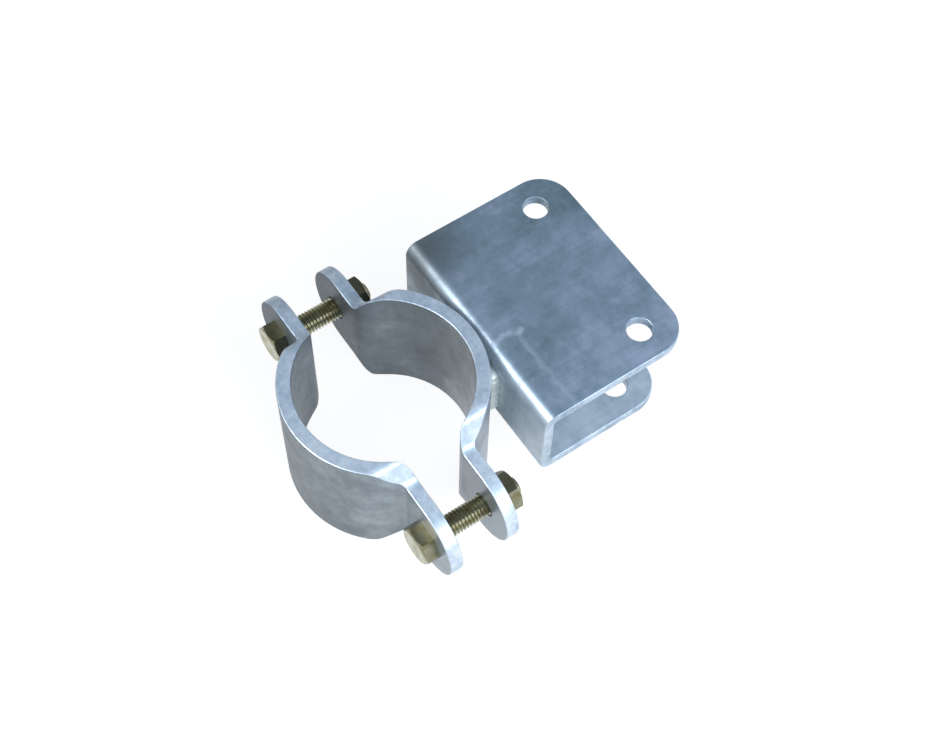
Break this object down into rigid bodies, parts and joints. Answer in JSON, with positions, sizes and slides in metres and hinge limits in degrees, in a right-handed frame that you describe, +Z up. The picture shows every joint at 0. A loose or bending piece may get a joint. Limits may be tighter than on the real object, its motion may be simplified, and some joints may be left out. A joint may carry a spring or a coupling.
{
  "type": "post mount bracket",
  "caption": "Galvanised clamp of bent flat bar that closes round a tube post with hexagon bolts, and a folded channel welded to it that holds a rail, arm or sign fitting.",
  "frame": {"origin": "on the axis of the post, at the lower edge of the clamp's flat bar", "axes": "+Z up along the post, +X along the clamp bolts towards the channel, Y along the ears of the clamp"},
  "size_m": [0.1316, 0.119, 0.05],
  "materials": {
    "galvanised_bar": "hot-dip galvanised",
    "galvanised_plate": "hot-dip galvanised",
    "galvanised_weld": "hot-dip galvanised",
    "yellow_zinc": "yellow passivated zinc plate"
  },
  "bodies": {
    "root": {"rear_clamp_half": "galvanised_bar", "front_clamp_half": "galvanised_bar", "channel_bracket": "galvanised_plate", "near_weld_bead": "galvanised_weld", "far_weld_bead": "galvanised_weld", "near_bolt": "yellow_zinc", "far_bolt": "yellow_zinc", "near_nut": "yellow_zinc", "far_nut": "yellow_zinc"}
  },
  "joints": []
}
